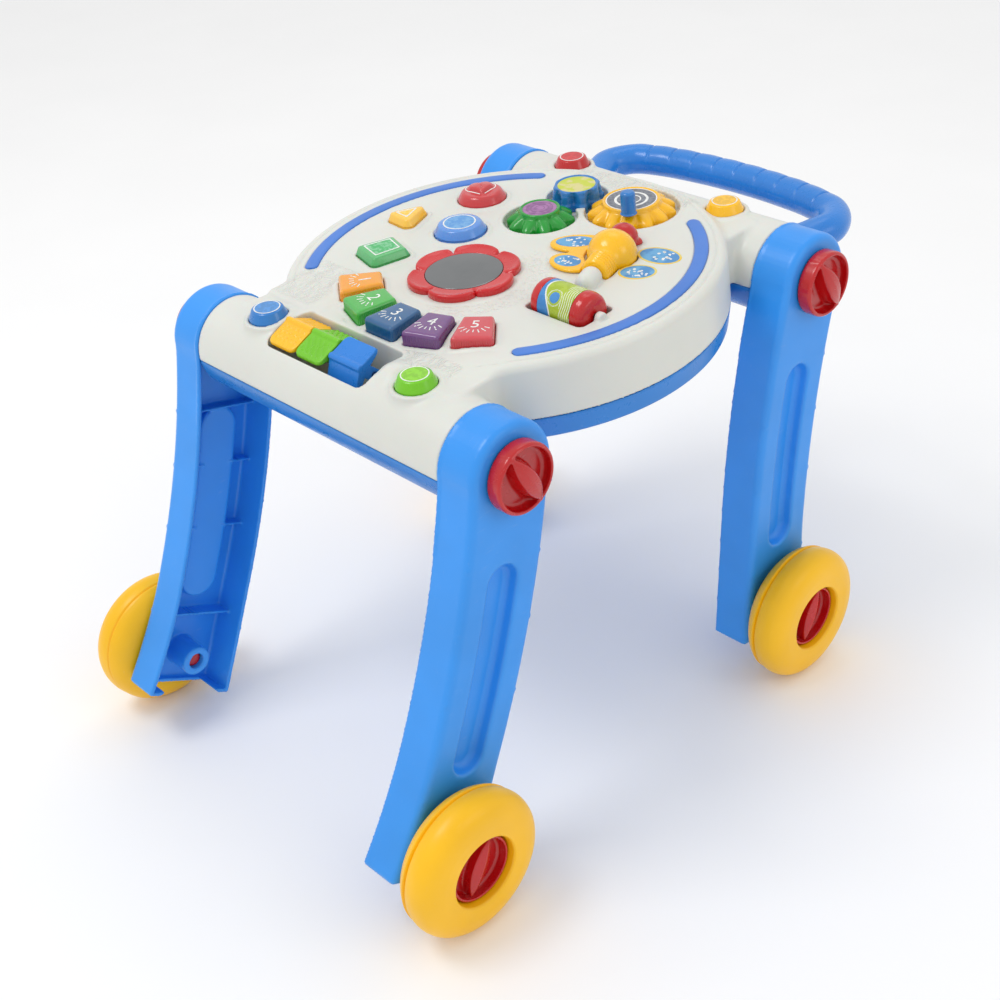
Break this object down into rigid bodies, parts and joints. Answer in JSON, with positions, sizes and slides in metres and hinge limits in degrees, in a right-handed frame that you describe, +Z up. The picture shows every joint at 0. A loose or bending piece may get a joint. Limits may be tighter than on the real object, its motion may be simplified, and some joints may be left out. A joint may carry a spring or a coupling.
{
  "type": "baby walker activity table",
  "caption": "Wheeled baby walker with a round play table, barrel ends carrying fold-adjustable legs, a push handle, press buttons, keys, gears, a roller, a spinner and flip paddles.",
  "frame": {"origin": "centre of the bounding box, on the floor under the wheels", "axes": "+X along the barrels towards the right-hand wheels, +Y from the flip-paddle end to the handle end, +Z up"},
  "size_m": [0.458, 0.6594, 0.4358],
  "materials": {
    "white": "satin",
    "blue": "satin",
    "red": "glossy",
    "yellow": "glossy",
    "wheel_yellow": "satin",
    "green": "glossy",
    "lime": "glossy",
    "strip_blue": "satin",
    "mirror": "polished",
    "key_orange": "translucent",
    "key_green": "translucent",
    "key_teal": "translucent",
    "key_purple": "translucent",
    "key_red": "translucent",
    "steel": "satin",
    "battery": "satin",
    "board": "matte"
  },
  "bodies": {
    "chassis": {"top_shell": "white", "bottom_shell": "blue", "handle": "blue", "flower_frame": "red", "mirror": "mirror", "butterfly_head": "red", "butterfly_wings": "yellow", "butterfly_pin": "steel", "roller_axle": "steel", "paddle_axle": "steel", "rim_strip_right": "strip_blue", "rim_strip_left": "strip_blue", "battery_door": "blue", "door_screw": "steel", "battery_1": "battery", "battery_2": "battery", "battery_3": "battery", "circuit_board": "board", "speaker": "board"},
    "leg_front_right": {"leg_front_right": "blue"},
    "leg_knob_front_right": {"leg_knob_front_right": "red"},
    "wheel_front_right": {"wheel_front_right": "wheel_yellow", "axle_front_right": "red"},
    "leg_front_left": {"leg_front_left": "blue"},
    "leg_knob_front_left": {"leg_knob_front_left": "red"},
    "wheel_front_left": {"wheel_front_left": "wheel_yellow", "axle_front_left": "red"},
    "leg_rear_right": {"leg_rear_right": "blue"},
    "leg_knob_rear_right": {"leg_knob_rear_right": "red"},
    "wheel_rear_right": {"wheel_rear_right": "wheel_yellow", "axle_rear_right": "red"},
    "leg_rear_left": {"leg_rear_left": "blue"},
    "leg_knob_rear_left": {"leg_knob_rear_left": "red"},
    "wheel_rear_left": {"wheel_rear_left": "wheel_yellow", "axle_rear_left": "red"},
    "corner_button_blue": {"corner_button_blue": "blue"},
    "corner_button_green": {"corner_button_green": "lime"},
    "corner_button_yellow": {"corner_button_yellow": "yellow"},
    "corner_button_red": {"corner_button_red": "red"},
    "button_triangle": {"button_triangle": "yellow"},
    "button_square": {"button_square": "green"},
    "button_round": {"button_round": "blue"},
    "button_heart": {"button_heart": "red"},
    "key_orange": {"key_orange": "key_orange"},
    "key_green": {"key_green": "key_green"},
    "key_teal": {"key_teal": "key_teal"},
    "key_purple": {"key_purple": "key_purple"},
    "key_red": {"key_red": "key_red"},
    "gear_yellow": {"gear_yellow": "yellow", "crank_peg": "blue"},
    "gear_blue": {"gear_blue": "blue"},
    "gear_green": {"gear_green": "green"},
    "butterfly_body": {"butterfly_body": "yellow"},
    "roller": {"roller_drum": "lime", "roller_cap_left": "red", "roller_cap_right": "red"},
    "paddle_yellow": {"paddle_yellow": "yellow"},
    "paddle_green": {"paddle_green": "lime"},
    "paddle_blue": {"paddle_blue": "blue"}
  },
  "joints": [
    {"name": "leg_front_right_fold", "type": "hinge", "parent": "chassis", "child": "leg_front_right", "pos_m": [0.1655, -0.17046, 0.34851], "axis": [1, 0, 0], "range_deg": [-20, 30]},
    {"name": "leg_knob_front_right_turn", "type": "hinge", "parent": "leg_front_right", "child": "leg_knob_front_right", "pos_m": [0.19, -0.17046, 0.34851], "axis": [1, 0, 0], "range_deg": [0, 120]},
    {"name": "wheel_front_right_spin", "type": "hinge", "parent": "leg_front_right", "child": "wheel_front_right", "pos_m": [0.207, -0.26836, 0.0613], "axis": [1, 0, 0], "continuous": true},
    {"name": "leg_front_left_fold", "type": "hinge", "parent": "chassis", "child": "leg_front_left", "pos_m": [-0.1655, -0.17046, 0.34851], "axis": [1, 0, 0], "range_deg": [-20, 30]},
    {"name": "leg_knob_front_left_turn", "type": "hinge", "parent": "leg_front_left", "child": "leg_knob_front_left", "pos_m": [-0.19, -0.17046, 0.34851], "axis": [-1, 0, 0], "range_deg": [0, 120]},
    {"name": "wheel_front_left_spin", "type": "hinge", "parent": "leg_front_left", "child": "wheel_front_left", "pos_m": [-0.207, -0.26836, 0.0613], "axis": [1, 0, 0], "continuous": true},
    {"name": "leg_rear_right_fold", "type": "hinge", "parent": "chassis", "child": "leg_rear_right", "pos_m": [0.1655, 0.18049, 0.36629], "axis": [1, 0, 0], "range_deg": [-15, 35]},
    {"name": "leg_knob_rear_right_turn", "type": "hinge", "parent": "leg_rear_right", "child": "leg_knob_rear_right", "pos_m": [0.19, 0.18049, 0.36629], "axis": [1, 0, 0], "range_deg": [0, 120]},
    {"name": "wheel_rear_right_spin", "type": "hinge", "parent": "leg_rear_right", "child": "wheel_rear_right", "pos_m": [0.207, 0.14359, 0.0613], "axis": [1, 0, 0], "continuous": true},
    {"name": "leg_rear_left_fold", "type": "hinge", "parent": "chassis", "child": "leg_rear_left", "pos_m": [-0.1655, 0.18049, 0.36629], "axis": [1, 0, 0], "range_deg": [-15, 35]},
    {"name": "leg_knob_rear_left_turn", "type": "hinge", "parent": "leg_rear_left", "child": "leg_knob_rear_left", "pos_m": [-0.19, 0.18049, 0.36629], "axis": [-1, 0, 0], "range_deg": [0, 120]},
    {"name": "wheel_rear_left_spin", "type": "hinge", "parent": "leg_rear_left", "child": "wheel_rear_left", "pos_m": [-0.207, 0.14359, 0.0613], "axis": [1, 0, 0], "continuous": true},
    {"name": "corner_button_blue_press", "type": "slide", "parent": "chassis", "child": "corner_button_blue", "axis": [0, 0.0506, -0.9987], "range_m": [0, 0.0025], "stiffness_N_per_m": 500, "springref_m": -0.003},
    {"name": "corner_button_green_press", "type": "slide", "parent": "chassis", "child": "corner_button_green", "axis": [0, 0.0506, -0.9987], "range_m": [0, 0.0025], "stiffness_N_per_m": 500, "springref_m": -0.003},
    {"name": "corner_button_yellow_press", "type": "slide", "parent": "chassis", "child": "corner_button_yellow", "axis": [0, 0.0506, -0.9987], "range_m": [0, 0.0025], "stiffness_N_per_m": 500, "springref_m": -0.003},
    {"name": "corner_button_red_press", "type": "slide", "parent": "chassis", "child": "corner_button_red", "axis": [0, 0.0506, -0.9987], "range_m": [0, 0.0025], "stiffness_N_per_m": 500, "springref_m": -0.003},
    {"name": "button_triangle_press", "type": "slide", "parent": "chassis", "child": "button_triangle", "axis": [0, 0.0506, -0.9987], "range_m": [0, 0.003], "stiffness_N_per_m": 500, "springref_m": -0.003},
    {"name": "button_square_press", "type": "slide", "parent": "chassis", "child": "button_square", "axis": [0, 0.0506, -0.9987], "range_m": [0, 0.003], "stiffness_N_per_m": 500, "springref_m": -0.003},
    {"name": "button_round_press", "type": "slide", "parent": "chassis", "child": "button_round", "axis": [0, 0.0506, -0.9987], "range_m": [0, 0.003], "stiffness_N_per_m": 500, "springref_m": -0.003},
    {"name": "button_heart_press", "type": "slide", "parent": "chassis", "child": "button_heart", "axis": [0, 0.0506, -0.9987], "range_m": [0, 0.003], "stiffness_N_per_m": 500, "springref_m": -0.003},
    {"name": "key_orange_press", "type": "slide", "parent": "chassis", "child": "key_orange", "axis": [0, 0.0506, -0.9987], "range_m": [0, 0.003], "stiffness_N_per_m": 500, "springref_m": -0.003},
    {"name": "key_green_press", "type": "slide", "parent": "chassis", "child": "key_green", "axis": [0, 0.0506, -0.9987], "range_m": [0, 0.003], "stiffness_N_per_m": 500, "springref_m": -0.003},
    {"name": "key_teal_press", "type": "slide", "parent": "chassis", "child": "key_teal", "axis": [0, 0.0506, -0.9987], "range_m": [0, 0.003], "stiffness_N_per_m": 500, "springref_m": -0.003},
    {"name": "key_purple_press", "type": "slide", "parent": "chassis", "child": "key_purple", "axis": [0, 0.0506, -0.9987], "range_m": [0, 0.003], "stiffness_N_per_m": 500, "springref_m": -0.003},
    {"name": "key_red_press", "type": "slide", "parent": "chassis", "child": "key_red", "axis": [0, 0.0506, -0.9987], "range_m": [0, 0.003], "stiffness_N_per_m": 500, "springref_m": -0.003},
    {"name": "gear_yellow_spin", "type": "hinge", "parent": "chassis", "child": "gear_yellow", "pos_m": [0.029, 0.12863, 0.40772], "axis": [0, -0.0506, 0.9987], "continuous": true},
    {"name": "gear_blue_spin", "type": "hinge", "parent": "chassis", "child": "gear_blue", "pos_m": [-0.0295, 0.12283, 0.40742], "axis": [0, -0.0506, 0.9987], "continuous": true},
    {"name": "gear_green_spin", "type": "hinge", "parent": "chassis", "child": "gear_green", "pos_m": [-0.0255, 0.0727, 0.40488], "axis": [0, -0.0506, 0.9987], "continuous": true},
    {"name": "butterfly_spin", "type": "hinge", "parent": "chassis", "child": "butterfly_body", "pos_m": [0.0765, 0.05157, 0.40682], "axis": [-0.3305, 0.9426, 0.0478], "continuous": true},
    {"name": "roller_spin", "type": "hinge", "parent": "chassis", "child": "roller", "pos_m": [0.1056, -0.03012, 0.40068], "axis": [1, 0, 0], "continuous": true},
    {"name": "paddle_yellow_flip", "type": "hinge", "parent": "chassis", "child": "paddle_yellow", "pos_m": [-0.051, -0.16861, 0.37514], "axis": [1, 0, 0], "range_deg": [-48, 48]},
    {"name": "paddle_green_flip", "type": "hinge", "parent": "chassis", "child": "paddle_green", "pos_m": [-0.018, -0.16861, 0.37514], "axis": [1, 0, 0], "range_deg": [-48, 48]},
    {"name": "paddle_blue_flip", "type": "hinge", "parent": "chassis", "child": "paddle_blue", "pos_m": [0.017, -0.16861, 0.37514], "axis": [1, 0, 0], "range_deg": [-95, 0]}
  ],
  "couplings": [
    {"joint": "gear_blue_spin", "follows": "gear_yellow_spin", "ratio": -1.625},
    {"joint": "gear_green_spin", "follows": "gear_yellow_spin", "ratio": 1.3}
  ]
}
